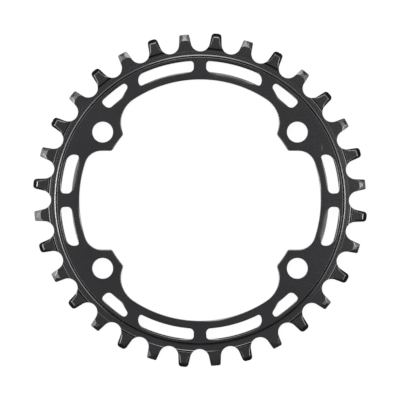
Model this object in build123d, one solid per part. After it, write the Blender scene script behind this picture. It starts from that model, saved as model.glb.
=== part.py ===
from build123d import *
import math
import os

# A one-piece bicycle chainring with wide and narrow teeth in turn, which fill the wide and the narrow
# links of a half-inch chain. A flat body carries four bolt tabs and is lightened by twelve slots. A step
# leads from the body down to a thinner band, and the teeth stand out from that band.
# Z is the ring's axis, X runs along the long side of the bolt pattern, and the back face lies at Z = 0.
# All lengths are in millimetres and all angles in degrees.

# Chain
chain_pitch = 12.7
roller_diameter = 7.65
roller_clearance = 0.05
tooth_pairs = 16
root_relief = 0.75
flank_angle = 13.0
tooth_turn = -0.13
tooth_overlap = 0.4

# Thickness, measured through the ring
body_thickness = 4.0
band_thickness = 2.0
wide_tooth_thickness = 3.7

# Wide teeth
wide_tip_height = 2.9
wide_tip_corner = 1.4
wide_tip_break = 0.4
wide_tip_break_tilt = 20.0
wide_tip_bevel = 1.4
wide_tip_bevel_tilt = 35.0
wide_flank_bevel_start = -0.93
wide_flank_bevel_spread = 15.0
wide_flank_bevel_tilt = 35.0
pad_foot_offset = 0.4
pad_wall_tilt = 32.0

# Narrow teeth
narrow_tip_height = 2.4
narrow_tip_bevel = 2.5
narrow_tip_bevel_tilt = 12.0
narrow_tip_nose = 1.2
narrow_tip_nose_tilt = 24.0
narrow_flank_bevel_start = 0.73
narrow_flank_bevel_spread = 47.7
narrow_flank_bevel_tilt = 18.5

# Body, from the tooth gaps inwards
band_width = 1.9
step_run = 0.45
step_foot_facet = 0.6
outer_rim_width = 1.5
slot_width = 4.5
inner_rim_width = 3.05

# Bolt tabs
bolt_circle_diameter = 96.0
bolt_angle = 35.0
bolt_hole_diameter = 8.4
tab_end_wall = 3.0
tab_end_width = 8.1
tab_flare = 35.0
tab_end_corner = 1.3
tab_long_side_round = 11.2
tab_short_side_round = 6.8

# Slots, and the spokes between them
side_spoke_width = 5.5
top_spoke_width = 5.1
brace_width = 4.7
side_slot_tab_gap = 14.9
short_slot_tab_gap = 9.8
short_slot_sweep = 12.6
short_slot_slant_run = 4.4
short_slot_slant_rise = 2.15
short_slot_slant_round = 5.0
slot_tight_corner = 0.9
slot_wide_corner = 3.4
slot_corner = 1.3
short_slot_inner_corner = 2.0
spoke_inner_corner = 1.8
spoke_outer_corner = 1.2
slot_end_flat = 0.15

# Values that follow from the sizes above
tooth_step = 180 / tooth_pairs
half_step = tooth_step / 2
pitch_radius = chain_pitch / 2 / math.sin(math.radians(half_step))
seat_radius = (roller_diameter + roller_clearance) / 2
seat_centre = pitch_radius - root_relief
root_radius = seat_centre - seat_radius
wide_tip_radius = pitch_radius + wide_tip_height
narrow_tip_radius = pitch_radius + narrow_tip_height
blank_radius = root_radius - tooth_overlap
tooth_start_radius = blank_radius - tooth_overlap
step_foot_radius = root_radius - band_width
body_radius = step_foot_radius - step_run
slot_outer_radius = body_radius - outer_rim_width
slot_inner_radius = slot_outer_radius - slot_width
slot_middle_radius = (slot_outer_radius + slot_inner_radius) / 2
opening_radius = slot_inner_radius - inner_rim_width
bolt_radius = bolt_circle_diameter / 2
tab_end_radius = bolt_radius - bolt_hole_diameter / 2 - tab_end_wall
bolt_angles = [bolt_angle, 180 - bolt_angle, 180 + bolt_angle, -bolt_angle]
far_radius = 2 * wide_tip_radius


def polar(radius, angle):
    """The point at a radius and an angle, counted anticlockwise from +X."""
    return (radius * math.cos(math.radians(angle)), radius * math.sin(math.radians(angle)))


def arc_angle(length, radius):
    """The angle that a short length takes up on a circle."""
    return math.degrees(length / radius)


def fall(run, tilt):
    """The drop of a slope with this tilt over a level run."""
    return run * math.tan(math.radians(tilt))


def sector(start, end):
    """A wedge of the plane from the ring's centre, between two angles."""
    return Polygon((0, 0), polar(far_radius, start), polar(far_radius, end), align=None)


def round_corner(face, point, radius):
    """The face with the corner nearest to a point rounded."""
    corner = face.vertices().sort_by_distance((*point, 0))[0]
    return fillet([corner], radius)


def break_corner(face, point, length):
    """The face with the corner nearest to a point cut off, by this length on both sides."""
    corner = face.vertices().sort_by_distance((*point, 0))[0]
    return chamfer([corner], length)


def both_faces(cutter):
    """A cutter for the front face together with its twin for the back face."""
    return [cutter, mirror(cutter, about=Plane.XY)]


def ring_blank():
    """The turned ring: the body, the step on both faces and the inner part of the band."""
    inner = tab_end_radius - tab_end_wall
    body = body_thickness / 2
    band = band_thickness / 2
    front = [(inner, body), (body_radius, body), (step_foot_radius, band), (blank_radius, band)]
    back = [(x, -z) for x, z in reversed(front)]
    section = Polygon(*front, *back, align=None)
    for side in (1, -1):
        section = break_corner(section, (step_foot_radius, side * band), step_foot_facet)
    return revolve(Plane.XZ * section, Axis.Z)


def tab_web(apex, radius, side):
    """The round web on one side of a bolt tab on +X, between the tab's flank and the opening's circle."""
    flank = Vector(*polar(1, side * tab_flare))
    into_opening = Vector(*polar(1, side * (tab_flare + 90)))
    # The web's circle touches the flank, and touches the opening's circle from within.
    offset = Vector(apex, 0) + into_opening * radius
    reach = opening_radius - radius
    along = offset.dot(flank)
    travel = math.sqrt(along**2 - offset.dot(offset) + reach**2) - along
    centre = offset + flank * travel
    foot = centre - into_opening * radius
    span = 3 * radius
    past_flank = foot + flank * span
    past_circle = centre + centre.normalized() * span
    corner = Polygon(*[(point.X, point.Y) for point in (centre, foot, past_flank, past_circle)], align=None)
    return corner - Pos(centre) * Circle(radius)


def opening_face():
    """The opening in the middle, with four bolt tabs that reach into it."""
    half_width = tab_end_width / 2
    end_angle = math.degrees(math.asin(half_width / tab_end_radius))
    end_middle = tab_end_radius * math.cos(math.radians(end_angle))
    apex = end_middle - half_width / math.tan(math.radians(tab_flare))
    tab = Pos(apex, 0) * sector(-tab_flare, tab_flare) - Circle(tab_end_radius)
    face = Circle(opening_radius)
    for angle in bolt_angles:
        face -= Rot(Z=angle) * tab
        for side in (1, -1):
            face = round_corner(face, polar(tab_end_radius, angle + side * end_angle), tab_end_corner)
    for angle in bolt_angles:
        # The long side of a tab faces the Y axis, and the short side faces the X axis.
        long_side = 1 if math.sin(math.radians(2 * angle)) > 0 else -1
        face -= Rot(Z=angle) * tab_web(apex, tab_long_side_round, long_side)
        face -= Rot(Z=angle) * tab_web(apex, tab_short_side_round, -long_side)
    return face


def end_rounds(inner_round, outer_round):
    """The two rounds of a slot's end, both made smaller where the slot is too narrow for them."""
    scale = min(1, (slot_width - slot_end_flat) / (inner_round + outer_round))
    return inner_round * scale, outer_round * scale


def slot_face(start, end, start_corners, end_corners):
    """A curved slot between two angles, with its inner and outer corner rounds at each end."""
    face = (Circle(slot_outer_radius) - Circle(slot_inner_radius)) & sector(start, end)
    for angle, (inner_round, outer_round) in ((start, start_corners), (end, end_corners)):
        face = round_corner(face, polar(slot_inner_radius, angle), inner_round)
        face = round_corner(face, polar(slot_outer_radius, angle), outer_round)
    return face


def short_slot_face(start, end):
    """The slot beside a tab, whose far inner corner is cut off by a slant that follows the brace."""
    slant_start = polar(slot_inner_radius, end - arc_angle(short_slot_slant_run, slot_inner_radius))
    slant_end = polar(slot_inner_radius + short_slot_slant_rise, end)
    corner = polar(slot_inner_radius - short_slot_slant_rise, end)
    inner_round, outer_round = end_rounds(short_slot_inner_corner, slot_corner)
    end_round = min(slot_corner, (slot_width - short_slot_slant_rise) / 2)
    face = (Circle(slot_outer_radius) - Circle(slot_inner_radius)) & sector(start, end)
    face -= Polygon(slant_start, slant_end, corner, align=None)
    face = round_corner(face, polar(slot_inner_radius, start), inner_round)
    face = round_corner(face, polar(slot_outer_radius, start), outer_round)
    face = round_corner(face, slant_start, short_slot_slant_round)
    face = round_corner(face, slant_end, end_round)
    return round_corner(face, polar(slot_outer_radius, end), end_round)


def quarter_slots():
    """The first quarter's three slots: one between the X axis and the tab, then two up to the Y axis."""
    side_start = arc_angle(side_spoke_width / 2, slot_middle_radius)
    side_end = bolt_angle - side_slot_tab_gap
    short_start = bolt_angle + short_slot_tab_gap
    short_end = short_start + short_slot_sweep
    long_start = short_end + arc_angle(brace_width, slot_middle_radius)
    long_end = 90 - arc_angle(top_spoke_width / 2, slot_middle_radius)
    spoke_rounds = end_rounds(spoke_inner_corner, spoke_outer_corner)
    other_rounds = end_rounds(slot_tight_corner, slot_wide_corner)
    return [
        slot_face(side_start, side_end, spoke_rounds, other_rounds),
        short_slot_face(short_start, short_end),
        slot_face(long_start, long_end, other_rounds, spoke_rounds),
    ]


def all_slots():
    """The slots of all four quarters, mirrored from the first."""
    slots = quarter_slots()
    slots += [mirror(slot, about=Plane.YZ) for slot in slots]
    slots += [mirror(slot, about=Plane.XZ) for slot in slots]
    return slots


def through(face):
    """A cutter that runs through the whole thickness."""
    return extrude(face, amount=body_thickness, both=True)


def slotted_body():
    """The turned ring with its opening, bolt holes and slots."""
    holes = [Pos(*polar(bolt_radius, angle)) * Circle(bolt_hole_diameter / 2) for angle in bolt_angles]
    return ring_blank() - [through(face) for face in (opening_face(), *holes, *all_slots())]


def gap_face():
    """The gap between two teeth, centred on +X: a round seat for the roller, and two flanks that open."""
    tilt = math.radians(flank_angle)
    seat_end = seat_centre - seat_radius * math.sin(tilt)
    half_width = seat_radius * math.cos(tilt)
    far_half_width = half_width + fall(far_radius - seat_end, flank_angle)
    flanks = Polygon(
        (seat_end, half_width),
        (seat_end, -half_width),
        (far_radius, -far_half_width),
        (far_radius, far_half_width),
        align=None,
    )
    return Pos(seat_centre, 0) * Circle(seat_radius) + flanks


def tooth_plan(tip_radius):
    """A tooth seen along the ring's axis, centred on +X, from the band out to its flat tip."""
    half_width = fall(tip_radius, half_step)
    plan = Polygon((0, 0), (tip_radius, -half_width), (tip_radius, half_width), align=None)
    plan -= Circle(tooth_start_radius)
    plan -= Rot(Z=half_step) * gap_face()
    plan -= Rot(Z=-half_step) * gap_face()
    return plan


def tooth_side(front):
    """A block with a tooth's side outline: its front edge is given and its back edge is the same."""
    back = [(x, -z) for x, z in reversed(front)]
    return Polygon(*front, *back, align=None)


def outline_point(travel):
    """The point of a tooth's outline this far past the end of the round seat, or short of it if negative."""
    seat_tilt = flank_angle + arc_angle(max(0, -travel), seat_radius)
    seat = Vector(seat_centre, 0) - seat_radius * Vector(*polar(1, 90 - seat_tilt))
    flank = max(0, travel) * Vector(*polar(1, -flank_angle))
    return (seat + flank).rotate(Axis.Z, half_step)


def flank_bevels(top, start, spread, tilt):
    """Cutters for the bevels on a tooth's flanks, which run out to nothing where they start on its outline.
    The spread is the angle between a flank and the line where its bevel leaves the face."""
    origin = outline_point(start) + Vector(0, 0, top)
    heading = half_step - flank_angle - spread
    outward = Vector(*polar(1, heading), 0)
    sideways = Vector(*polar(1, heading + 90), 0)
    slope = math.radians(tilt)
    normal = sideways * math.sin(slope) + Vector(0, 0, 1) * math.cos(slope)
    block = Box(chain_pitch, chain_pitch, chain_pitch, align=(Align.MIN, Align.CENTER, Align.MIN))
    cutter = Plane(origin, x_dir=outward, z_dir=normal) * block
    return both_faces(cutter) + both_faces(mirror(cutter, about=Plane.XZ))


def wide_tooth():
    """A wide tooth: a raised pad on both faces, with a bevelled tip and bevelled flanks."""
    band = band_thickness / 2
    top = wide_tooth_thickness / 2
    foot = root_radius + pad_foot_offset
    head = foot + (top - band) / math.tan(math.radians(pad_wall_tilt))
    bevel = wide_tip_radius - wide_tip_bevel
    bevel_top = top - fall(wide_tip_break, wide_tip_break_tilt)
    tip = bevel_top - fall(wide_tip_bevel, wide_tip_bevel_tilt)
    front = [
        (tooth_start_radius, band),
        (foot, band),
        (head, top),
        (bevel - wide_tip_break, top),
        (bevel, bevel_top),
        (wide_tip_radius, tip),
    ]
    plan = tooth_plan(wide_tip_radius)
    plan = fillet(plan.vertices().group_by(Axis.X)[-1], wide_tip_corner)
    tooth = extrude(Plane.XZ * tooth_side(front), amount=chain_pitch, both=True)
    tooth &= through(plan)
    return tooth - flank_bevels(top, wide_flank_bevel_start, wide_flank_bevel_spread, wide_flank_bevel_tilt)


def narrow_tooth():
    """A narrow tooth: level with the band, with a long bevel at its square tip and bevelled flanks."""
    top = band_thickness / 2
    bevel = narrow_tip_radius - narrow_tip_bevel
    nose = narrow_tip_radius - narrow_tip_nose
    nose_top = top - fall(narrow_tip_bevel - narrow_tip_nose, narrow_tip_bevel_tilt)
    tip = nose_top - fall(narrow_tip_nose, narrow_tip_nose_tilt)
    front = [(tooth_start_radius, top), (bevel, top), (nose, nose_top), (narrow_tip_radius, tip)]
    tooth = extrude(Plane.XZ * tooth_side(front), amount=chain_pitch, both=True)
    tooth &= through(tooth_plan(narrow_tip_radius))
    bevels = flank_bevels(top, narrow_flank_bevel_start, narrow_flank_bevel_spread, narrow_flank_bevel_tilt)
    return tooth - bevels


def toothed_rim():
    """All the teeth round the band: narrow first from +X, then wide, and so on in turn.
    They are turned a little against the bolt pattern."""
    wide = wide_tooth()
    narrow = narrow_tooth()
    teeth = []
    for pair in range(tooth_pairs):
        angle = 2 * pair * tooth_step + half_step + tooth_turn
        teeth.append(Rot(Z=angle) * narrow)
        teeth.append(Rot(Z=angle + tooth_step) * wide)
    return teeth


chainring = slotted_body() + toothed_rim()
chainring = Pos(0, 0, body_thickness / 2) * chainring

os.makedirs("parts", exist_ok=True)
export_step(chainring, "parts/chainring.step")
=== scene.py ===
import math

import bmesh
import bpy
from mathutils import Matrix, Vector


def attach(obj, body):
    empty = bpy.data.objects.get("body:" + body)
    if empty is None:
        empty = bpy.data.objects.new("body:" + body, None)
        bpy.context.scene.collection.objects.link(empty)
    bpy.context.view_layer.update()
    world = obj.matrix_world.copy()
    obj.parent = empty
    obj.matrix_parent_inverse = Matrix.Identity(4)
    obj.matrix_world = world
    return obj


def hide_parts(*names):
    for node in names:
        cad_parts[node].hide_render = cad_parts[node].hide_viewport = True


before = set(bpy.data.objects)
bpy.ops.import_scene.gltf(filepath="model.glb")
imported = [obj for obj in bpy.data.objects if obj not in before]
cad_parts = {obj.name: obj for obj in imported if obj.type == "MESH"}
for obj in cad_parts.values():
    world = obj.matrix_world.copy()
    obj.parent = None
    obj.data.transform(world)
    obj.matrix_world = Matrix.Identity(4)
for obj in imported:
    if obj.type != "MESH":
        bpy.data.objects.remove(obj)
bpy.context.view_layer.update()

# A black anodised bicycle chainring, lying face up and seen from straight above.
# Lengths are in millimetres and angles in degrees. What goes into the scene is scaled to metres.
mm = 0.001

# Teeth: their pitch, the round seats for the chain's rollers, and the flanks
chain_pitch = 12.7
tooth_pairs = 16
seat_radius = 3.85
root_relief = 0.75
flank_angle = 13.0
tooth_turn = -0.13

# Heights above the plate's middle plane
body_height = 2.0
band_height = 1.0
wide_height = 1.85

# Wide teeth
wide_tip_height = 2.9
wide_tip_corner = 1.4
wide_tip_break = 0.4
wide_tip_break_tilt = 17.5
wide_tip_bevel = 1.4
wide_tip_bevel_tilt = 35.0
pad_foot_offset = 0.93
pad_wall_tilt = 65.0
pad_foot_round = 0.85
pad_head_round = 0.2
wide_tip_round = 0.35

# Narrow teeth
narrow_tip_height = 2.4
narrow_tip_corner = 0.6
narrow_tip_bevel = 2.5
narrow_tip_bevel_tilt = 10.5
narrow_tip_nose = 1.2
narrow_tip_nose_tilt = 24.0
narrow_tip_round = 0.3

# Bevels along the flanks: their tilt, and the lines where they leave the face. Each line has its place on
# the tooth's outline (see tooth_outline), an inset from there and an angle to the flank.
wide_bevel = {"tilt": 35.0, "lines": [(1.0, 0.58, 7.6), (0.78, 0.0, 45.0)]}
narrow_bevel = {"tilt": 21.5, "lines": [(1.2, 0.0, 47.7)]}

# Step from the body down to the band
band_width = 2.0
step_run = 0.35
step_head_round = 0.25
step_foot_facet = 0.4
step_foot_tilt = 35.0
step_wall_round = 0.25
step_ledge = 0.4
step_ledge_tilt = 17.5
step_ledge_round = 0.3

# Body
outer_rim_width = 1.5
slot_width = 4.38
inner_rim_width = 3.17
flat_margin = 0.5

# Bolt tabs
bolt_radius = 48.0
bolt_angle = 35.0
bolt_hole_radius = 4.2
tab_end_wall = 3.0
tab_end_width = 8.1
tab_flare = 35.0
tab_end_corner = 1.3
tab_long_side_round = 11.2
tab_short_side_round = 6.8

# Slots, and the spokes between them
side_spoke_width = 5.5
top_spoke_width = 5.1
brace_width = 4.7
side_slot_tab_gap = 14.9
short_slot_tab_gap = 9.8
short_slot_sweep = 12.6
short_slot_slant_run = 4.4
short_slot_slant_rise = 2.15
short_slot_slant_round = 5.0
slot_tight_corner = 0.9
slot_wide_corner = 3.4
slot_corner = 1.3
short_slot_end_corner = 1.175
short_slot_inner_corner = 2.0
spoke_inner_corner = 1.8
spoke_outer_corner = 1.2

# Edges: how far each reaches over the face, how steep it gets before the last small round to the wall,
# and how late it steepens (1 is even)
slot_outer_edge = (0.6, 42.0, 0.35)
slot_broad_edge = (2.8, 10.8, 1.8)
slot_slim_edge = (0.78, 22.0, 1.5)
opening_broad_edge = (0.95, 26.0, 1.5)
tab_edge = (0.4, 40.0, 1.0)
sharp_edge = (0.12, 10.0, 1.5)
edge_round = 0.05
tooth_edge = 0.09

# A slot's edge fades to a sharp one near its ends. A tab's edge turns into the inner rim's on the way out to
# the opening's circle, later with a higher hold.
slot_edge_fade = 4.0
tab_edge_hold = 4

# The inner rim's edges sway round the ring: where the slots' side is broad the opening's side is sharp.
# A higher focus brings the strongest places closer to the X and Y axes. The gain keeps the slots' side broad
# for a longer stretch.
sway_turns = 4
sway_focus = 4
slot_sway_gain = 4.0

# Finish: its colour, the satin grain, and the uneven roughness and tone
anodised_colour = (0.055, 0.055, 0.0558)
grain_size = 0.25
grain_detail = 2.0
grain_height = 0.0009
roughness_range = (0.17, 0.21)
cloud_size = 9.0
cloud_detail = 3.0
tone_range = (0.94, 1.06)
noise_range = (0.25, 0.75)

# Grooves left by turning, deeper between two radii on the band
groove_pitch = 0.16
groove_detail = 1.0
face_groove_depth = 0.006
band_groove_depth = 0.018
band_marks = (58.6, 60.1)
marks_fade = 0.4

# The outer end of the turned cut: a low ridge that rises between two radii, on one side of the ring only.
# It fades round the ring with the cosine of the angle from that side.
cut_end = (61.0, 61.3)
cut_end_height = 0.09
cut_side = 210.0
cut_side_fade = (0.2, 0.6)

# A faint upright mark on the face, beside a bolt hole
rub_place = (49.25, 21.2)
rub_size = (0.4, 1.8)
rub_tone = 2.4

# Stage: a white floor just below the ring, which glows in part
floor_reach = 1500.0
floor_gap = 0.3
floor_colour = (0.85, 0.85, 0.85, 1)
floor_roughness = 0.9
floor_glow = 0.94

# Lamps: angle round the ring from +X, tilt off straight up, width and height as seen from the ring, and glow
lamp_distance = 1000.0
lamps = {
    "top_middle": (90, 38, 22, 36, 8.3),
    "top_surround": (90, 38, 54, 42, 1.8),
    "left_middle": (179, 38, 20, 8, 23.0),
    "left_surround": (181, 38, 60, 44, 4.2),
    "right_middle": (1, 35, 16, 13, 15.0),
    "right_surround": (4, 33, 48, 42, 2.7),
}

# Light from all around: its colour, and its strength from a low height of the sky to straight up
sky_colour = (0.95, 0.94, 1.0, 1)
sky_heights = (0.25, 1.0)
sky_strengths = (0.15, 0.52)

# Camera: the photograph's scale in millimetres to a pixel, its size and shift in pixels, and a long lens
photo_scale = 0.40411
photo_size = 400
photo_shift = (-0.01, 0.2)
camera_distance = 1200.0
focus_height = 3.0
sensor_width = 36.0

# Fineness of the mesh: steps down an edge and round its foot, the largest turn and length of a step along a
# path, and the distance within which points are welded
edge_steps = 6
round_steps = 3
corner_turn = 9.0
longest_chord = 1.6
weld = 0.001

# Rows of a tooth's mesh: at the first few steps up its seat, a limited number evenly along its flank, and at
# all the steps round its tip's corner. Low on the tooth they are arcs about the ring's axis, and near the tip
# they are straight.
seat_steps = 10
seat_rows = 8
flank_rows = 11
flank_row_gap = 0.4
tip_corner_steps = 7
closest_rows = 0.02
arcs_margin = 0.1
arcs_to_straight = 2.0

# Columns of a tooth's mesh: at shares of the way from its middle to the line of its bevel, then a little
# before and after that line, and at the rim
face_columns = (0.35, 0.7)
crease = 0.08

# Halvings in a search, a drop that shows where a bevel starts, and a length that is as good as none
solve_rounds = 50
bevel_start_drop = 1e-6
tiny = 1e-9

# Values that follow from the sizes above
tooth_step = 180 / tooth_pairs
half_step = tooth_step / 2
pitch_radius = chain_pitch / 2 / math.sin(math.radians(half_step))
seat_centre = pitch_radius - root_relief
root_radius = seat_centre - seat_radius
wide_tip_radius = pitch_radius + wide_tip_height
narrow_tip_radius = pitch_radius + narrow_tip_height
step_foot_radius = root_radius - band_width
body_radius = step_foot_radius - step_run
seam_radius = body_radius - flat_margin
slot_outer_radius = body_radius - outer_rim_width
slot_inner_radius = slot_outer_radius - slot_width
slot_middle_radius = (slot_outer_radius + slot_inner_radius) / 2
opening_radius = slot_inner_radius - inner_rim_width
tab_end_radius = bolt_radius - bolt_hole_radius - tab_end_wall
pad_foot_radius = root_radius + pad_foot_offset
pad_head_radius = pad_foot_radius + (wide_height - band_height) / math.tan(math.radians(pad_wall_tilt))
arcs_end = pad_head_radius + arcs_margin
straight_start = arcs_end + arcs_to_straight


# Plane geometry

def polar(radius, angle):
    """The point at a radius and an angle, counted anticlockwise from +X."""
    return Vector((radius * math.cos(math.radians(angle)), radius * math.sin(math.radians(angle))))


def fall(run, tilt):
    """The drop of a slope with this tilt over a level run."""
    return run * math.tan(math.radians(tilt))


def arc_angle(length, radius):
    """The angle that a short length takes up on a circle."""
    return math.degrees(length / radius)


def arc(centre, radius, start, end):
    """Points along an arc from one angle to another, fine enough to look round."""
    turn = abs(end - start)
    length = radius * math.radians(turn)
    count = max(2, math.ceil(turn / corner_turn), math.ceil(length / longest_chord))
    return [centre + polar(radius, start + (end - start) * i / count) for i in range(count + 1)]


def rounded_path(corners):
    """A path through corners (place, round), each turned by an arc of its own round."""
    path = [corners[0][0]]
    for (before, _), (corner, radius), (after, _) in zip(corners, corners[1:], corners[2:]):
        into = (corner - before).normalized()
        out = (after - corner).normalized()
        # This angle is positive when the path turns clockwise.
        turn = into.angle_signed(out)
        reach = radius * math.tan(abs(turn) / 2)
        centre = corner - into * reach + Vector((into.y, -into.x)) * math.copysign(radius, turn)
        spoke = corner - into * reach - centre
        steps = max(2, math.ceil(math.degrees(abs(turn)) / corner_turn))
        for i in range(steps + 1):
            swing = -turn * i / steps
            path.append(centre + Vector((
                spoke.x * math.cos(swing) - spoke.y * math.sin(swing),
                spoke.x * math.sin(swing) + spoke.y * math.cos(swing),
            )))
    path.append(corners[-1][0])
    return path


def divided(path):
    """The same path with its long straight runs divided."""
    points = []
    for start, end in zip(path, path[1:]):
        count = max(1, math.ceil((end - start).length / longest_chord))
        points += [start.lerp(end, i / count) for i in range(count)]
    return points + [path[-1]]


def height_on(path, place):
    """The height of a side profile at a place along it."""
    for start, end in zip(path, path[1:]):
        if place <= end.x:
            share = (place - start.x) / max(end.x - start.x, tiny)
            return start.y + (end.y - start.y) * max(0.0, share)
    return path[-1].y


def solve(function, low, high):
    """The place between low and high where a rising function passes zero."""
    for _ in range(solve_rounds):
        middle = (low + high) / 2
        if function(middle) > 0:
            high = middle
        else:
            low = middle
    return (low + high) / 2


# Side profiles of the teeth, from the body's flat face out to the tip

def step_profile():
    """The start of both profiles: the body's face, the step and the band, as corners with rounds.
    The step's wall ends in two facets, a steep one and a shallow ledge."""
    head = Vector((body_radius, body_height))
    foot = Vector((step_foot_radius, band_height))
    wall_end = foot + (head - foot).normalized() * step_foot_facet
    ledge_height = band_height + fall(step_ledge, step_ledge_tilt)
    facet_run = (wall_end.y - ledge_height) / math.tan(math.radians(step_foot_tilt))
    ledge_start = Vector((wall_end.x + facet_run, ledge_height))
    band_start = Vector((ledge_start.x + step_ledge, band_height))
    return [
        (Vector((seam_radius, body_height)), 0),
        (head, step_head_round),
        (wall_end, step_wall_round),
        (ledge_start, step_ledge_round),
        (band_start, step_ledge_round),
    ]


def wide_profile():
    """The raised pad of a wide tooth, then the short break and the steep bevel at its tip."""
    bevel = wide_tip_radius - wide_tip_bevel
    bevel_height = wide_height - fall(wide_tip_break, wide_tip_break_tilt)
    tip_height = bevel_height - fall(wide_tip_bevel, wide_tip_bevel_tilt)
    return rounded_path(step_profile() + [
        (Vector((pad_foot_radius, band_height)), pad_foot_round),
        (Vector((pad_head_radius, wide_height)), pad_head_round),
        (Vector((bevel - wide_tip_break, wide_height)), wide_tip_round),
        (Vector((bevel, bevel_height)), wide_tip_round),
        (Vector((wide_tip_radius, tip_height)), 0),
    ])


def narrow_profile():
    """A narrow tooth, level with the band, then the long bevel and the nose at its tip."""
    bevel = narrow_tip_radius - narrow_tip_bevel
    nose = narrow_tip_radius - narrow_tip_nose
    nose_height = band_height - fall(narrow_tip_bevel - narrow_tip_nose, narrow_tip_bevel_tilt)
    tip_height = nose_height - fall(narrow_tip_nose, narrow_tip_nose_tilt)
    return rounded_path(step_profile() + [
        (Vector((bevel, band_height)), narrow_tip_round),
        (Vector((nose, nose_height)), narrow_tip_round),
        (Vector((narrow_tip_radius, tip_height)), 0),
    ])


# Teeth

def tooth_outline(tip_radius, tip_corner):
    """One side of a tooth centred on +X, as a function of a place: 0 to 1 is the seat, 1 to 2 the flank and
    2 to 3 the tip's corner. It gives the point and the direction that faces away from the tooth."""
    seat = polar(seat_centre, half_step)
    flank_facing = half_step - flank_angle + 90
    facing = polar(1, flank_facing)
    seat_end = seat - facing * seat_radius
    corner_x = tip_radius - tip_corner
    corner_y = (facing.dot(seat_end) - tip_corner - facing.x * corner_x) / facing.y
    corner = Vector((corner_x, corner_y))
    flank_end = corner + facing * tip_corner

    def at(place):
        if place <= 1:
            away = polar(1, half_step + place * (90 - flank_angle))
            return seat - away * seat_radius, away
        if place <= 2:
            return seat_end.lerp(flank_end, place - 1), facing
        away = polar(1, flank_facing * (3 - place))
        return corner + away * tip_corner, away

    return at


def straightness(level):
    """0 where a tooth's rows are arcs, 1 where they are straight, and smooth in between."""
    share = min(1.0, max(0.0, (level - arcs_end) / (straight_start - arcs_end)))
    return share * share * (3 - 2 * share)


def level_of(point):
    """How far out a point lies on a tooth, counted along its rows."""
    share = straightness(point.length)
    return (1 - share) * point.length + share * point.x


def row_point(level, angle):
    """The point of a row at an angle from the tooth's middle."""
    share = straightness(level)
    return polar(level / (1 - share + share * math.cos(math.radians(angle))), angle)


def tooth_face(outline, profile, bevel):
    """The height of a tooth's front, as a function of a point and its level: the profile, cut by bevels."""
    top = max(point.y for point in profile if point.x > root_radius)
    lines = []
    for place, inset, spread in bevel["lines"]:
        point, away = outline(place)
        lines.append((point - away * inset, polar(1, half_step - flank_angle - spread + 90)))

    def at(point, level):
        folded = Vector((point.x, abs(point.y)))
        depth = min((folded - start).dot(sideways) for start, sideways in lines)
        return min(height_on(profile, level), top - fall(max(0.0, depth), bevel["tilt"]))

    return at


def row_levels(rim_at, profile):
    """How far out a tooth's rows lie: up the seat, the flank and the tip's corner, and at the profile's
    bends. Of rows that lie too close together only the outer one stays."""
    seat = [rim_at(i / seat_steps).length for i in range(seat_rows)]
    corner = [rim_at(2 + i / tip_corner_steps).x for i in range(tip_corner_steps + 1)]
    flank = [seat[-1] + flank_row_gap * i for i in range(1, flank_rows + 1)]
    flank = [level for level in flank if level < corner[0]]
    bends = [point.x for point in profile if seat[0] < point.x < corner[-1]]
    levels = sorted(seat + corner + bends + flank)
    return [level for level, after in zip(levels, levels[1:]) if after - level > closest_rows] + [levels[-1]]


def tooth_rows(outline, profile, bevel):
    """The front of one tooth and its share of the band, as rows of points (x, y, height).
    It also gives the edge around the tooth, as (point, direction away, height, slope)."""
    height = tooth_face(outline, profile, bevel)

    def rim_at(place):
        point, away = outline(place)
        return point - away * tooth_edge

    levels = row_levels(rim_at, profile)
    rows = []
    edge = []
    for level in levels:
        place = solve(lambda spot: level_of(rim_at(spot)) - level, 0, 3)
        point, away = outline(place)
        rim = rim_at(place)
        limit = math.degrees(math.atan2(rim.y, rim.x))
        gap = arc_angle(crease, level)
        flat = height_on(profile, level) - bevel_start_drop
        line = solve(lambda angle: flat - height(row_point(level, angle), level), 0, limit)
        # The bevel's line stays clear of the rim.
        line = min(line, limit - 2 * gap)
        half = [share * line for share in face_columns] + [line - gap, line + gap, limit]
        angles = [-angle for angle in reversed(half)] + [0] + half
        row = [(*spot, height(spot, level)) for spot in (row_point(level, angle) for angle in angles)]
        rows.append(row)
        behind = rim - away * crease
        rise = height(behind, level_of(behind)) - height(rim, level_of(rim))
        slope = math.atan2(rise, crease)
        edge.append((point, away, row[-1][2], max(0.0, slope)))

    columns = len(rows[0]) // 2
    angles = [half_step * i / columns for i in range(-columns, columns + 1)]
    band = []
    for level in (point.x for point in profile if point.x < levels[0] - closest_rows):
        band.append([(*polar(level, angle), height_on(profile, level)) for angle in angles])
    return band + rows, edge


def add_grid(mesh, rows):
    """Square faces over rows of corners."""
    for low, high in zip(rows, rows[1:]):
        for i in range(len(low) - 1):
            corners = (low[i], low[i + 1], high[i + 1], high[i])
            mesh.faces.new(corners)


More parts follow.
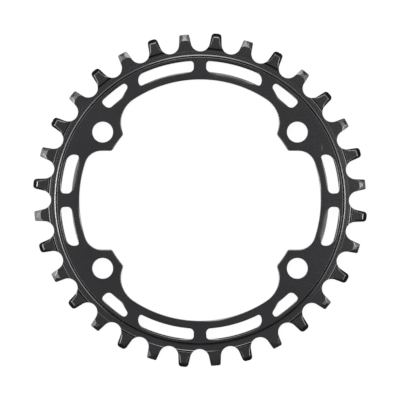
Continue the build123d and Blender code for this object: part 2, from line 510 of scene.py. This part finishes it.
def add_tooth(mesh, angle, tip_radius, tip_corner, profile, bevel):
    """One tooth with its band and step, both faces and the wall between them, turned to its angle."""
    rows, edge = tooth_rows(tooth_outline(tip_radius, tip_corner), profile, bevel)
    outward = Vector((1, 0))
    turn = outward.to_3d().rotation_difference(polar(1, angle).to_3d())
    _, _, _, tip_slope = edge[-1]
    across = [(Vector((tip_radius, y)), outward, z, tip_slope) for _, y, z in reversed(rows[-1][1:-1])]
    other = []
    for point, away, z, slope in reversed(edge):
        other.append((Vector((point.x, -point.y)), Vector((away.x, -away.y)), z, slope))
    first_edge_row = len(rows) - len(edge)

    def corner(x, y, z):
        place = Vector((x, y)).to_3d()
        place.rotate(turn)
        return mesh.verts.new((place.x, place.y, z))

    walls = []
    for side in (1, -1):
        grid = [[corner(x, y, side * z) for x, y, z in row] for row in rows]
        add_grid(mesh, grid)
        rim = [row[-1] for row in grid[first_edge_row:]]
        rim += list(reversed(grid[-1][1:-1]))
        rim += [row[0] for row in reversed(grid[first_edge_row:])]
        strips = [rim]
        for i in range(1, edge_steps):
            strip = []
            for point, away, z, slope in edge + across + other:
                tilt = slope + (math.pi / 2 - slope) * i / (edge_steps - 1)
                place = point - away * tooth_edge * (1 - math.sin(tilt))
                drop = math.tan(slope) * math.sin(slope) + math.cos(slope) - math.cos(tilt)
                strip.append(corner(*place, side * (z - tooth_edge * drop)))
            strips.append(strip)
        add_grid(mesh, strips)
        walls.append(strips[-1])
    add_grid(mesh, walls)


# Edges of the body's first quarter, mirrored into the second. A geometry tree adds the other half.

def loop_normals(path, closed):
    """The direction to the right of a path at each of its points."""
    normals = []
    count = len(path)
    for i, point in enumerate(path):
        before = path[i - 1] if closed or i > 0 else point
        after = path[(i + 1) % count] if closed or i < count - 1 else point
        back = point - before
        ahead = after - point
        if back.length == 0 or ahead.length == 0:
            along = back + ahead
        else:
            along = back / back.length * ahead.length + ahead / ahead.length * back.length
        along.normalize()
        normals.append(Vector((along.y, -along.x)))
    return normals


def edge_profile(reach, steepest, lateness):
    """Steps down an edge as (distance from the wall, drop): a crown that steepens, then the last round."""
    top = math.radians(steepest)
    round_reach = edge_round * (1 - math.sin(top))
    run = (reach - round_reach) / edge_steps
    drop = 0.0
    steps = [(reach, drop)]
    for i in range(edge_steps):
        drop += fall(run, steepest * ((i + 0.5) / edge_steps) ** lateness)
        steps.append((reach - run * (i + 1), drop))
    for i in range(1, round_steps + 1):
        tilt = top + (math.pi / 2 - top) * i / round_steps
        round_drop = edge_round * (math.cos(top) - math.cos(tilt))
        steps.append((edge_round * (1 - math.sin(tilt)), drop + round_drop))
    return steps


def add_edge(mesh, path, normals, sizes, closed):
    """The edge on both faces along a path, and the wall between: the normals point into the metal.
    The sizes are the reach, the steepness and the lateness of the edge at each point."""
    profiles = [edge_profile(*size) for size in sizes]
    front = []
    back = []
    for steps in zip(*profiles):
        high = []
        low = []
        for point, normal, (distance, drop) in zip(path, normals, steps):
            place = point + normal * distance
            high.append(mesh.verts.new((place.x, place.y, body_height - drop)))
            low.append(mesh.verts.new((place.x, place.y, drop - body_height)))
        front.append(high)
        back.insert(0, low)
    add_grid(mesh, [row + row[:1] if closed else row for row in front + back])


def blend(first, second, share):
    """The sizes of two edges mixed, from the first at share 0 to the second at share 1."""
    return [a + (b - a) * share for a, b in zip(first, second)]


def sway(point):
    """Which of the inner rim's edges is broad here: the slots' at -1, the opening's at 1.
    Each of its turns is strongest close to the X or the Y axis."""
    turn = sway_turns * math.atan2(point.y, point.x)
    peak = sway_focus / (sway_focus + 1)
    highest = math.sqrt(1 - peak**2) * (1 + peak) ** sway_focus
    return math.sin(turn) * (1 + math.cos(turn)) ** sway_focus / highest


def slot_edge_sizes(path, normals):
    """The edge along a slot: sharp at its ends, and crowned along its inner and outer sides."""
    angles = [math.atan2(point.y, point.x) for point in path]
    sizes = []
    for point, normal, angle in zip(path, normals, angles):
        outward = normal.dot(point.normalized())
        to_end = min(angle - min(angles), max(angles) - angle) * point.length
        side_edge = slot_outer_edge
        if outward < 0:
            share = min(1.0, max(0.0, -sway(point)) * slot_sway_gain)
            side_edge = blend(slot_slim_edge, slot_broad_edge, share)
        # This share is 1 along the slot's sides and 0 across its ends.
        along_side = outward**2 * min(1.0, to_end / slot_edge_fade)
        sizes.append(blend(sharp_edge, side_edge, along_side))
    return sizes


def opening_edge_sizes(path):
    """The edge along the opening: crowned on the bolt tabs, and broad along parts of the inner rim."""
    sizes = []
    for point in path:
        off_tab = max(0.0, (point.length - tab_end_radius) / (opening_radius - tab_end_radius))
        rim_edge = blend(sharp_edge, opening_broad_edge, max(0.0, sway(point)))
        sizes.append(blend(tab_edge, rim_edge, off_tab**tab_edge_hold))
    return sizes


def slot_path(corners):
    """A slot's closed path from corners (angle, radius, round), run anticlockwise as seen from the front."""
    flat = []
    for angle, radius, corner_round in corners:
        flat.append((Vector((math.radians(angle) * slot_middle_radius, radius)), corner_round))
    start = (flat[0][0] + flat[-1][0]) / 2
    path = divided(rounded_path([(start, 0)] + flat + [(start, 0)]))[:-1]
    return [polar(point.y, math.degrees(point.x / slot_middle_radius)) for point in path]


def quarter_slots():
    """The first quarter's three slots: one between the X axis and the tab, then two up to the Y axis."""
    inner = slot_inner_radius
    outer = slot_outer_radius
    side_start = arc_angle(side_spoke_width / 2, slot_middle_radius)
    side_end = bolt_angle - side_slot_tab_gap
    short_start = bolt_angle + short_slot_tab_gap
    short_end = short_start + short_slot_sweep
    slant_start = short_end - arc_angle(short_slot_slant_run, inner)
    long_start = short_end + arc_angle(brace_width, slot_middle_radius)
    long_end = 90 - arc_angle(top_spoke_width / 2, slot_middle_radius)
    side = [
        (side_start, inner, spoke_inner_corner),
        (side_start, outer, spoke_outer_corner),
        (side_end, outer, slot_wide_corner),
        (side_end, inner, slot_tight_corner),
    ]
    short = [
        (short_start, inner, short_slot_inner_corner),
        (short_start, outer, slot_corner),
        (short_end, outer, short_slot_end_corner),
        (short_end, inner + short_slot_slant_rise, short_slot_end_corner),
        (slant_start, inner, short_slot_slant_round),
    ]
    long = [
        (long_start, inner, slot_tight_corner),
        (long_start, outer, slot_wide_corner),
        (long_end, outer, spoke_outer_corner),
        (long_end, inner, spoke_inner_corner),
    ]
    return [slot_path(corners) for corners in (side, short, long)]


def touching(line_start, heading, offset, radius):
    """The place on a line, set off to its left, that lies at a radius from the ring's centre."""
    direction = polar(1, heading)
    start = line_start + polar(1, heading + 90) * offset
    along = start.dot(direction)
    return start + direction * (math.sqrt(along**2 - start.length_squared + radius**2) - along)


def tab_side(web_round):
    """Half of a bolt tab's edge, anticlockwise from the middle of its end on +X out to the opening's circle.
    It also gives the angle where it meets that circle."""
    half_width = tab_end_width / 2
    end_middle = math.sqrt(tab_end_radius**2 - half_width**2)
    apex = Vector((end_middle - half_width / math.tan(math.radians(tab_flare)), 0))
    corner = touching(apex, tab_flare, -tab_end_corner, tab_end_radius + tab_end_corner)
    web = touching(apex, tab_flare, web_round, opening_radius - web_round)
    corner_angle = math.degrees(math.atan2(corner.y, corner.x))
    web_angle = math.degrees(math.atan2(web.y, web.x))
    path = arc(Vector((0, 0)), tab_end_radius, 0, corner_angle)[:-1]
    path += arc(corner, tab_end_corner, corner_angle + 180, tab_flare + 90)
    path += arc(web, web_round, tab_flare - 90, web_angle)
    return divided(path), web_angle


def turned(path, angle):
    """A path turned about the ring's axis."""
    return [polar(point.length, math.degrees(math.atan2(point.y, point.x)) + angle) for point in path]


def quarter_opening():
    """The first quarter of the opening's edge, from the X axis to the Y axis."""
    short, short_web = tab_side(tab_short_side_round)
    long, long_web = tab_side(tab_long_side_round)
    short = turned([Vector((point.x, -point.y)) for point in reversed(short)], bolt_angle)
    long = turned(long, bolt_angle)
    centre = Vector((0, 0))
    start = arc(centre, opening_radius, 0, bolt_angle - short_web)
    end = arc(centre, opening_radius, bolt_angle + long_web, 90)
    return start[:-1] + short[:-1] + long[:-1] + end


def mirrored(path):
    """A path of the first quarter mirrored into the second, and run the same way round."""
    return [Vector((-point.x, point.y)) for point in reversed(path)]


def half_body_edges():
    """All the edges of the body's first two quarters."""
    mesh = bmesh.new()
    slots = quarter_slots()
    for path in slots + [mirrored(path) for path in slots]:
        normals = loop_normals(path, True)
        add_edge(mesh, path, normals, slot_edge_sizes(path, normals), True)
    hole = arc(polar(bolt_radius, bolt_angle), bolt_hole_radius, 0, 360)[:-1]
    for path in (hole, mirrored(hole)):
        add_edge(mesh, path, loop_normals(path, True), [sharp_edge] * len(path), True)
    opening = quarter_opening()
    opening += mirrored(opening)[1:]
    normals = loop_normals(opening, False)
    # The path starts and ends on the X axis, where the metal lies straight outward.
    normals[0] = Vector((1, 0))
    normals[-1] = Vector((-1, 0))
    add_edge(mesh, opening, normals, opening_edge_sizes(opening), False)
    return mesh


# Geometry trees, and the math node that the finish uses too

def new_tree(name, inputs):
    """An empty geometry tree with its named inputs, and a geometry in and out."""
    tree = bpy.data.node_groups.new(name, "GeometryNodeTree")
    tree.interface.new_socket("Geometry", in_out="INPUT", socket_type="NodeSocketGeometry")
    for label, kind in inputs:
        tree.interface.new_socket(label, in_out="INPUT", socket_type=kind)
    tree.interface.new_socket("Geometry", in_out="OUTPUT", socket_type="NodeSocketGeometry")
    return tree, tree.nodes.new("NodeGroupInput"), tree.nodes.new("NodeGroupOutput")


def math_of(tree, operation, *terms):
    """The result of a math node on outputs of other nodes or plain numbers."""
    node = tree.nodes.new("ShaderNodeMath")
    node.operation = operation
    for socket, term in zip(node.inputs, terms):
        if isinstance(term, (int, float)):
            socket.default_value = term
        else:
            tree.links.new(term, socket)
    return node.outputs["Value"]


def end_tree(tree, inputs, outputs, geometry):
    """The shared end of the trees: realise, weld, shade smooth and set the finish."""
    realise = tree.nodes.new("GeometryNodeRealizeInstances")
    merge = tree.nodes.new("GeometryNodeMergeByDistance")
    smooth = tree.nodes.new("GeometryNodeSetShadeSmooth")
    finish = tree.nodes.new("GeometryNodeSetMaterial")
    for node in (realise, merge, smooth, finish):
        tree.links.new(geometry, node.inputs["Geometry"])
        geometry = node.outputs["Geometry"]
    tree.links.new(inputs.outputs["Weld distance"], merge.inputs["Distance"])
    tree.links.new(inputs.outputs["Finish"], finish.inputs["Material"])
    tree.links.new(geometry, outputs.inputs["Geometry"])


def tooth_ring_tree():
    """Repeats a pair of teeth round the ring's axis."""
    tree, inputs, outputs = new_tree("tooth_ring", [
        ("Pairs", "NodeSocketInt"),
        ("Weld distance", "NodeSocketFloat"),
        ("Finish", "NodeSocketMaterial"),
    ])
    points = tree.nodes.new("GeometryNodePoints")
    index = tree.nodes.new("GeometryNodeInputIndex")
    share = math_of(tree, "DIVIDE", index.outputs["Index"], inputs.outputs["Pairs"])
    angle = math_of(tree, "MULTIPLY", share, 2 * math.pi)
    axis = tree.nodes.new("ShaderNodeCombineXYZ")
    rotation = tree.nodes.new("FunctionNodeEulerToRotation")
    copies = tree.nodes.new("GeometryNodeInstanceOnPoints")
    tree.links.new(inputs.outputs["Pairs"], points.inputs["Count"])
    tree.links.new(angle, axis.inputs["Z"])
    tree.links.new(axis.outputs["Vector"], rotation.inputs["Euler"])
    tree.links.new(points.outputs["Points"], copies.inputs["Points"])
    tree.links.new(inputs.outputs["Geometry"], copies.inputs["Instance"])
    tree.links.new(rotation.outputs["Rotation"], copies.inputs["Rotation"])
    end_tree(tree, inputs, outputs, copies.outputs["Instances"])
    return tree


def two_halves_tree():
    """Joins half of the body's edges with the same half turned about the ring's axis."""
    tree, inputs, outputs = new_tree("two_halves", [
        ("Weld distance", "NodeSocketFloat"),
        ("Finish", "NodeSocketMaterial"),
    ])
    other = tree.nodes.new("GeometryNodeTransform")
    other.inputs["Rotation"].default_value = (0, 0, math.pi)
    both = tree.nodes.new("GeometryNodeJoinGeometry")
    tree.links.new(inputs.outputs["Geometry"], other.inputs["Geometry"])
    tree.links.new(inputs.outputs["Geometry"], both.inputs["Geometry"])
    tree.links.new(other.outputs["Geometry"], both.inputs["Geometry"])
    end_tree(tree, inputs, outputs, both.outputs["Geometry"])
    return tree


def grown(name, mesh, tree, values):
    """The plain mesh that a geometry tree makes from a starting mesh and its input values."""
    data = bpy.data.meshes.new(name)
    mesh.to_mesh(data)
    mesh.free()
    holder = bpy.data.objects.new(name, data)
    bpy.context.scene.collection.objects.link(holder)
    modifier = holder.modifiers.new(tree.name, "NODES")
    modifier.node_group = tree
    sockets = {item.name: item.identifier for item in tree.interface.items_tree if item.in_out == "INPUT"}
    for label, value in values.items():
        modifier[sockets[label]] = value
    bpy.context.view_layer.update()
    graph = bpy.context.evaluated_depsgraph_get()
    result = bpy.data.meshes.new_from_object(holder.evaluated_get(graph), depsgraph=graph)
    bpy.data.objects.remove(holder)
    bpy.data.meshes.remove(data)
    return result


# The whole ring

def fill_flat(mesh, height):
    """Closes a flat face of the body between all the open edges at one height."""
    edges = [
        edge for edge in mesh.edges
        if edge.is_boundary and all(abs(corner.co.z - height) < weld for corner in edge.verts)
    ]
    bmesh.ops.triangle_fill(mesh, use_beauty=True, use_dissolve=False, edges=edges, normal=(0, 0, height))


def ring_mesh(finish):
    """The chainring as one closed mesh, with its back face at Z = 0."""
    pair = bmesh.new()
    first = half_step + tooth_turn
    add_tooth(pair, first, narrow_tip_radius, narrow_tip_corner, narrow_profile(), narrow_bevel)
    add_tooth(pair, first + tooth_step, wide_tip_radius, wide_tip_corner, wide_profile(), wide_bevel)
    teeth = grown("teeth", pair, tooth_ring_tree(), {
        "Pairs": tooth_pairs,
        "Weld distance": weld,
        "Finish": finish,
    })

    edges = grown("edges", half_body_edges(), two_halves_tree(), {"Weld distance": weld, "Finish": finish})
    whole = bmesh.new()
    whole.from_mesh(teeth)
    whole.from_mesh(edges)
    fill_flat(whole, body_height)
    fill_flat(whole, -body_height)
    bmesh.ops.recalc_face_normals(whole, faces=whole.faces)
    bmesh.ops.translate(whole, verts=whole.verts, vec=(0, 0, body_height))
    bmesh.ops.scale(whole, verts=whole.verts, vec=(mm, mm, mm))
    for face in whole.faces:
        face.smooth = True
    data = bpy.data.meshes.new("ring")
    whole.to_mesh(data)
    whole.free()
    data.materials.append(finish)
    return data


# Finish

def new_group(name, outputs):
    """An empty shader group that takes a place in millimetres, with its named outputs."""
    group = bpy.data.node_groups.new(name, "ShaderNodeTree")
    group.interface.new_socket("Place", in_out="INPUT", socket_type="NodeSocketVector")
    for label, kind in outputs:
        group.interface.new_socket(label, in_out="OUTPUT", socket_type=kind)
    place = group.nodes.new("NodeGroupInput").outputs["Place"]
    return group, place, group.nodes.new("NodeGroupOutput").inputs


def ramp_of(tree, value, start, end, low, high, kind="SMOOTHSTEP"):
    """A value carried from one range to another, smoothly unless it is told otherwise."""
    node = tree.nodes.new("ShaderNodeMapRange")
    node.interpolation_type = kind
    for label, limit in (("From Min", start), ("From Max", end), ("To Min", low), ("To Max", high)):
        node.inputs[label].default_value = limit
    tree.links.new(value, node.inputs["Value"])
    return node.outputs["Result"]


def noise_of(tree, place, scale, detail):
    """Soft noise between 0 and 1, with this many grains in a millimetre."""
    node = tree.nodes.new("ShaderNodeTexNoise")
    node.inputs["Scale"].default_value = scale
    node.inputs["Detail"].default_value = detail
    tree.links.new(place, node.inputs["Vector"])
    return node.outputs["Fac"]


def turning_marks_group():
    """The height of fine grooves round the ring's axis, deeper on the band than on the body's face,
    and of the low ridge where the turned cut ends."""
    group, place, outputs = new_group("turning_marks", [("Height", "NodeSocketFloat")])
    split = group.nodes.new("ShaderNodeSeparateXYZ")
    group.links.new(place, split.inputs["Vector"])
    x = split.outputs["X"]
    y = split.outputs["Y"]
    radius = math_of(group, "SQRT", math_of(group, "MULTIPLY_ADD", x, x, math_of(group, "MULTIPLY", y, y)))
    grooves = group.nodes.new("ShaderNodeTexNoise")
    grooves.noise_dimensions = "1D"
    grooves.inputs["Scale"].default_value = 1 / groove_pitch
    grooves.inputs["Detail"].default_value = groove_detail
    group.links.new(radius, grooves.inputs["W"])
    marks_start, marks_end = band_marks
    past_step = ramp_of(group, radius, marks_start, marks_start + marks_fade, 0.0, 1.0)
    before_teeth = ramp_of(group, radius, marks_end, marks_end + marks_fade, 1.0, 0.0)
    band = math_of(group, "MULTIPLY", past_step, before_teeth)
    depth = math_of(group, "MULTIPLY_ADD", band, band_groove_depth - face_groove_depth, face_groove_depth)
    side = polar(1, cut_side)
    to_side = math_of(group, "MULTIPLY_ADD", x, side.x, math_of(group, "MULTIPLY", y, side.y))
    on_side = ramp_of(group, math_of(group, "DIVIDE", to_side, radius), *cut_side_fade, 0.0, 1.0)
    past_cut = ramp_of(group, radius, *cut_end, 0.0, cut_end_height)
    ridge = math_of(group, "MULTIPLY", on_side, past_cut)
    height = math_of(group, "MULTIPLY_ADD", grooves.outputs["Fac"], depth, ridge)
    group.links.new(height, outputs["Height"])
    return group


def satin_group():
    """The satin surface: its fine grain's height, its uneven roughness and its slightly uneven tone."""
    group, place, outputs = new_group("satin", [
        ("Height", "NodeSocketFloat"),
        ("Roughness", "NodeSocketFloat"),
        ("Tone", "NodeSocketFloat"),
    ])
    grain = noise_of(group, place, 1 / grain_size, grain_detail)
    cloud = noise_of(group, place, 1 / cloud_size, cloud_detail)
    group.links.new(math_of(group, "MULTIPLY", grain, grain_height), outputs["Height"])
    group.links.new(ramp_of(group, grain, *noise_range, *roughness_range), outputs["Roughness"])
    group.links.new(ramp_of(group, cloud, *noise_range, *tone_range), outputs["Tone"])
    return group


def rub_mark_group():
    """A mask for the faint upright mark on the face, beside a bolt hole: 1 in its middle, 0 beyond it."""
    group, place, outputs = new_group("rub_mark", [("Mask", "NodeSocketFloat")])
    split = group.nodes.new("ShaderNodeSeparateXYZ")
    group.links.new(place, split.inputs["Vector"])
    reaches = []
    for label, middle, reach in zip("XY", rub_place, rub_size):
        offset = math_of(group, "SUBTRACT", split.outputs[label], middle)
        share = math_of(group, "DIVIDE", offset, reach)
        reaches.append(math_of(group, "MULTIPLY", share, share))
    distance = math_of(group, "ADD", *reaches)
    # Heights count from the back face here, so this is the plate's middle plane.
    on_front = math_of(group, "GREATER_THAN", split.outputs["Z"], body_height)
    mask = math_of(group, "MULTIPLY", ramp_of(group, distance, 0.0, 1.0, 1.0, 0.0), on_front)
    group.links.new(mask, outputs["Mask"])
    return group


def use_group(tree, group, place):
    """A group put into a material at a place, as its outputs."""
    node = tree.nodes.new("ShaderNodeGroup")
    node.node_tree = group
    tree.links.new(place, node.inputs["Place"])
    return node.outputs


def black_anodised():
    """Black anodised aluminium with a satin sheen and fine turning marks."""
    material = bpy.data.materials.new("black_anodised")
    material.use_nodes = True
    tree = material.node_tree
    shader = tree.nodes["Principled BSDF"]
    coordinates = tree.nodes.new("ShaderNodeTexCoord")
    millimetres = tree.nodes.new("ShaderNodeMapping")
    millimetres.inputs["Scale"].default_value = (1 / mm, 1 / mm, 1 / mm)
    tree.links.new(coordinates.outputs["Object"], millimetres.inputs["Vector"])
    place = millimetres.outputs["Vector"]
    marks = use_group(tree, turning_marks_group(), place)
    satin = use_group(tree, satin_group(), place)
    rub = use_group(tree, rub_mark_group(), place)
    rubbed = math_of(tree, "MULTIPLY_ADD", rub["Mask"], rub_tone - 1, 1.0)
    tone = tree.nodes.new("ShaderNodeVectorMath")
    tone.operation = "SCALE"
    tone.inputs[0].default_value = anodised_colour
    bump = tree.nodes.new("ShaderNodeBump")
    bump.inputs["Distance"].default_value = mm
    tree.links.new(math_of(tree, "MULTIPLY", satin["Tone"], rubbed), tone.inputs["Scale"])
    tree.links.new(tone.outputs["Vector"], shader.inputs["Base Color"])
    tree.links.new(satin["Roughness"], shader.inputs["Roughness"])
    tree.links.new(math_of(tree, "ADD", marks["Height"], satin["Height"]), bump.inputs["Height"])
    tree.links.new(bump.outputs["Normal"], shader.inputs["Normal"])
    shader.inputs["Metallic"].default_value = 1.0
    return material


def build_ring():
    """The dressed chainring, which stands for the solid."""
    ring = bpy.data.objects.new("ring", ring_mesh(black_anodised()))
    bpy.context.scene.collection.objects.link(ring)
    shading = ring.modifiers.new("even shading", "WEIGHTED_NORMAL")
    shading.keep_sharp = True
    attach(ring, "root")
    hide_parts("chainring")


# Stage

def white_floor():
    """A white floor that mostly glows where it is seen, and keeps a faint shadow."""
    material = bpy.data.materials.new("white_floor")
    material.use_nodes = True
    tree = material.node_tree
    shader = tree.nodes["Principled BSDF"]
    shader.inputs["Base Color"].default_value = floor_colour
    shader.inputs["Roughness"].default_value = floor_roughness
    glow = tree.nodes.new("ShaderNodeEmission")
    glow.inputs["Color"].default_value = (1, 1, 1, 1)
    rays = tree.nodes.new("ShaderNodeLightPath")
    seen = math_of(tree, "MAXIMUM", rays.outputs["Is Camera Ray"], rays.outputs["Is Glossy Ray"])
    seen = math_of(tree, "MAXIMUM", seen, rays.outputs["Is Transmission Ray"])
    mix = tree.nodes.new("ShaderNodeMixShader")
    tree.links.new(math_of(tree, "MULTIPLY", seen, floor_glow), mix.inputs["Fac"])
    tree.links.new(shader.outputs["BSDF"], mix.inputs[1])
    tree.links.new(glow.outputs["Emission"], mix.inputs[2])
    tree.links.new(mix.outputs["Shader"], tree.nodes["Material Output"].inputs["Surface"])
    return material


def build_floor():
    """The floor, as one large square."""
    reach = floor_reach * mm
    height = -floor_gap * mm
    corners = [(x * reach, y * reach, height) for x, y in ((-1, -1), (1, -1), (1, 1), (-1, 1))]
    data = bpy.data.meshes.new("floor")
    data.from_pydata(corners, [], [(0, 1, 2, 3)])
    data.materials.append(white_floor())
    floor = bpy.data.objects.new("floor", data)
    bpy.context.scene.collection.objects.link(floor)


def add_softbox(name, toward, tilt, width, height, glow):
    """A soft round lamp that looks at the ring, from an angle round its axis and a tilt off straight up.
    Its width and height are angles as seen from the ring, and its glow is how bright it looks from there."""
    distance = lamp_distance * mm
    data = bpy.data.lights.new(name, "AREA")
    data.shape = "ELLIPSE"
    data.size = 2 * fall(distance, width / 2)
    data.size_y = 2 * fall(distance, height / 2)
    area = math.pi / 4 * data.size * data.size_y
    data.energy = math.pi * area * glow
    lamp = bpy.data.objects.new(name, data)
    level = polar(distance * math.sin(math.radians(tilt)), toward)
    lamp.location = (level.x, level.y, distance * math.cos(math.radians(tilt)))
    lamp.rotation_euler = (-lamp.location).to_track_quat("-Z", "Y").to_euler()
    bpy.context.scene.collection.objects.link(lamp)


def build_lights():
    """All the lamps: at the top, the left and the right, a bright middle with a dimmer surround."""
    for name, values in lamps.items():
        add_softbox(name, *values)


def build_world():
    """Soft light from all around, stronger towards straight up."""
    world = bpy.data.worlds.new("studio")
    bpy.context.scene.world = world
    world.use_nodes = True
    tree = world.node_tree
    background = tree.nodes["Background"]
    coordinates = tree.nodes.new("ShaderNodeTexCoord")
    split = tree.nodes.new("ShaderNodeSeparateXYZ")
    tree.links.new(coordinates.outputs["Generated"], split.inputs["Vector"])
    strength = ramp_of(tree, split.outputs["Z"], *sky_heights, *sky_strengths, kind="LINEAR")
    tree.links.new(strength, background.inputs["Strength"])
    background.inputs["Color"].default_value = sky_colour


def build_camera():
    """A long lens straight above, with the ring as large and as centred as in the photograph."""
    data = bpy.data.cameras.new("camera")
    data.sensor_width = sensor_width
    data.lens = sensor_width * camera_distance / (photo_scale * photo_size)
    camera = bpy.data.objects.new("camera", data)
    across, upward = (shift * photo_scale * mm for shift in photo_shift)
    camera.location = (across, upward, (camera_distance + focus_height) * mm)
    bpy.context.scene.collection.objects.link(camera)
    bpy.context.scene.camera = camera


build_ring()
build_floor()
build_lights()
build_world()
build_camera()
bpy.context.scene.view_settings.view_transform = "Standard"
